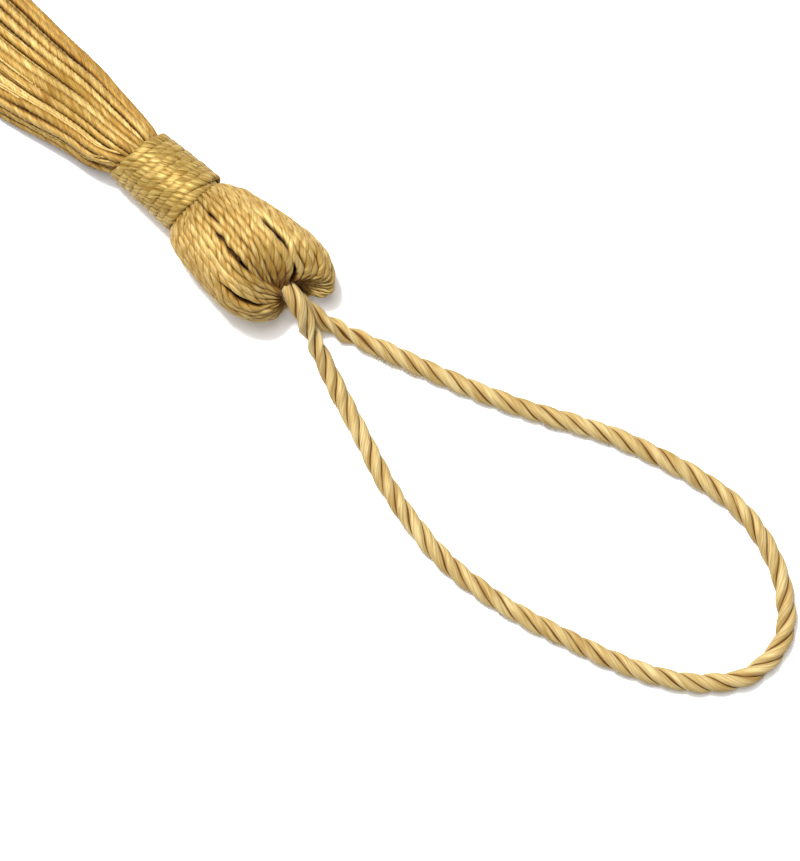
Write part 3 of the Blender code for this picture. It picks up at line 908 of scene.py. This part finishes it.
def cord_hairs(material, line):
    """Fine hairs that stand off the cord, most of them on one side of it."""
    yarn = Yarn(seed=41, plies=1, samples=4, groove=0.0, groove_shade=0.0)
    chance = yarn.chance
    ahead = unit(np.gradient(line, axis=0))
    spacing = float(np.linalg.norm(line[1] - line[0]))
    for patch in HAIRS:
        for _ in range(patch["count"]):
            place = int(chance.uniform(patch["start"], patch["end"]) / spacing)
            aside = unit(np.cross(UP, ahead[place])) * patch["side"]
            lean = ahead[place] * chance.uniform(*HAIR["leans"])
            length = chance.uniform(HAIR["shortest"], patch["length"])
            height = chance.uniform(*HAIR["heights"])
            start = line[place] + aside * CORD_RADIUS * HAIR["sunk"] + UP * height
            route = []
            for share in np.linspace(0, 1, HAIR["points"]):
                heading = aside + lean * share + UP * chance.uniform(*HAIR["wander"])
                route.append(start + heading * share * length)
            hair = np.array(route)
            hair[:, 2] = np.maximum(hair[:, 2], HAIR["clearance"])
            size = chance.uniform(*HAIR["half_sizes"])
            yarn.strand(hair, np.tile(UP, (HAIR["points"], 1)), size, size, HAIR["pitch"],
                        0.0, tone=HAIR["tone"])
    return yarn.build("cord_hairs", material)


def loop_cord(material):
    """The hanging loop: three plies twisted into a cord, along its route."""
    # Deep, narrow brown painted shade in the cord's ply grooves
    yarn = Yarn(seed=2, samples=16, groove=0.34, flatness=2.5, groove_shade=1.35, sharpness=2.2)
    chance = yarn.chance
    change = CORD_CHANGE
    spacing = CORD_SPACING
    line, length = smooth_line(LOOP_ROUTE, spacing)
    count = len(line)
    outward = np.tile(UP, (count, 1))
    size = slow_noise(chance, count, spacing, change["size_wave"], change["size"])
    size = CORD_RADIUS * (1 + size)
    pitch = slow_noise(chance, count, spacing, change["pitch_wave"], change["pitch"])
    pitch = CORD_PITCH * (1 + pitch)
    walked = np.arange(count) * spacing
    opened = np.zeros(count)
    for start, end in OPENED_PLIES:
        share = np.clip((walked - start) / (end - start), 0, 1)
        opened = np.maximum(opened, np.sin(math.pi * share))
    yarn.strand(line, outward, size, size, pitch, 0.0, tone=0.55, uneven=0.7, patch=9.0,
                opened=opened)
    piece = yarn.build("loop_cord", material)
    cord_hairs(material, line)
    return piece


def floor():
    """A plain white surface."""
    mesh = bpy.data.meshes.new("floor")
    half = FLOOR_HALF
    corners = [(-half, -half, 0), (half, -half, 0), (half, half, 0), (-half, half, 0)]
    mesh.from_pydata(corners, [], [(0, 1, 2, 3)])
    piece = bpy.data.objects.new("floor", mesh)
    bpy.context.collection.objects.link(piece)
    material = bpy.data.materials.new("white_paper")
    material.use_nodes = True
    shader = material.node_tree.nodes["Principled BSDF"]
    shader.inputs["Base Color"].default_value = FLOOR_COLOUR
    shader.inputs["Roughness"].default_value = FLOOR_ROUGHNESS
    shader.inputs["Specular IOR Level"].default_value = FLOOR_GLOSS
    shader.inputs["Emission Color"].default_value = WHITE
    shader.inputs["Emission Strength"].default_value = FLOOR_GLOW
    mesh.materials.append(material)


def camera():
    """The camera at the photograph's angle and framing, with the picture's right and up."""
    back = Vector((math.sin(CAMERA_AZIMUTH) * math.cos(CAMERA_ELEVATION),
                   -math.cos(CAMERA_AZIMUTH) * math.cos(CAMERA_ELEVATION),
                   math.sin(CAMERA_ELEVATION)))
    right = Vector((math.cos(CAMERA_AZIMUTH), math.sin(CAMERA_AZIMUTH), 0))
    upward = back.cross(right)
    data = bpy.data.cameras.new("camera")
    data.sensor_width = SENSOR
    data.lens = SENSOR * CAMERA_DISTANCE / (max(IMAGE_WIDTH, IMAGE_HEIGHT) * MM_PER_PIXEL)
    data.clip_start = NEAREST_SEEN
    data.clip_end = FARTHEST_SEEN
    thing = bpy.data.objects.new("camera", data)
    bpy.context.collection.objects.link(thing)
    place = (Vector(CAMERA_TARGET) + back * CAMERA_DISTANCE) * MM
    turn = Matrix((right, upward, back)).transposed().to_4x4()
    thing.matrix_world = Matrix.Translation(place) @ turn
    bpy.context.scene.camera = thing
    return right, upward


def area_light(name, place, aim, size, power):
    """A square light that looks at its aim."""
    data = bpy.data.lights.new(name, "AREA")
    data.size = size
    data.energy = power
    thing = bpy.data.objects.new(name, data)
    bpy.context.collection.objects.link(thing)
    thing.location = place
    thing.rotation_euler = (Vector(aim) - Vector(place)).to_track_quat("-Z", "Y").to_euler()


def studio(right, upward):
    """Dim surroundings, and the lights: a broad one overhead and a smaller one to its side."""
    world = bpy.data.worlds.new("studio")
    bpy.context.scene.world = world
    world.use_nodes = True
    world.node_tree.nodes["Background"].inputs["Color"].default_value = WHITE
    world.node_tree.nodes["Background"].inputs["Strength"].default_value = WORLD_LIGHT
    aim = Vector(LIGHT_AIM)
    toward = upward * LIGHT_UPWARD - right * LIGHT_LEFTWARD
    toward = Vector((toward.x, toward.y, 0)).normalized()
    for light in LIGHTS:
        place = aim + toward * light["toward"] + Vector((0, 0, light["height"]))
        area_light(light["name"], place, aim, light["size"], light["power"])
    bpy.context.scene.view_settings.view_transform = "Standard"


bundle_silk = silk(
    "bundle_silk", pale=(0.532, 0.405, 0.157, 1), gold=(0.330, 0.193, 0.033, 1),
    brown=(0.085, 0.026, 0.002, 1), streaks=7.0)
wrap_silk = silk(
    "wrap_silk", pale=(0.486, 0.361, 0.124, 1), gold=(0.314, 0.208, 0.042, 1),
    brown=(0.10, 0.045, 0.005, 1), streaks=6.0, roughness=0.52, metal=0.3)
cord_silk = silk(
    "cord_silk", pale=(0.51, 0.41, 0.20, 1), gold=(0.39, 0.275, 0.095, 1),
    brown=(0.085, 0.028, 0.002, 1), streaks=11.0, roughness=0.62, metal=0.12)
# Silk painted dark as shade, for the yarn deep inside the head and neck
inner_shade_silk = silk(
    "inner_shade_silk", pale=(0.10, 0.040, 0.006, 1), gold=(0.06, 0.020, 0.003, 1),
    brown=(0.02, 0.006, 0.001, 1), streaks=7.0, roughness=0.7, gloss=0.2)

right, upward = camera()
studio(right, upward)
floor()
strands = head_strands(bundle_silk)
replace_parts(strands, "head_and_skirt")
head_filling(inner_shade_silk)
inner_core(inner_shade_silk)
skirt = skirt_strands(bundle_silk)
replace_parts(skirt, "head_and_skirt")
loose_threads(bundle_silk)
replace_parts(wrap_turns(wrap_silk), "neck_wrap")
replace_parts(loop_cord(cord_silk), "hanging_loop")
